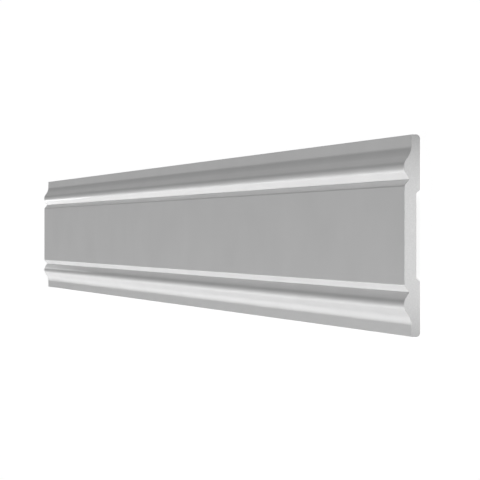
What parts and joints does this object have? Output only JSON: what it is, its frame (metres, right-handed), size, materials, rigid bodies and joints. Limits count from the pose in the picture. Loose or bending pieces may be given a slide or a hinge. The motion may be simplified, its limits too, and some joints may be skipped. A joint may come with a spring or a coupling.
{
  "type": "wall moulding",
  "caption": "Straight length of white wall moulding with a wide flat panel between two ogee edges.",
  "frame": {"origin": "middle of the length and width, on the plane the back pads lie on", "axes": "+X along the length, +Y across the width, +Z out of the back towards the face"},
  "size_m": [2, 0.2, 0.0167],
  "materials": {
    "moulding": "satin white primer"
  },
  "bodies": {
    "root": {"wall_moulding": "moulding"}
  },
  "joints": []
}
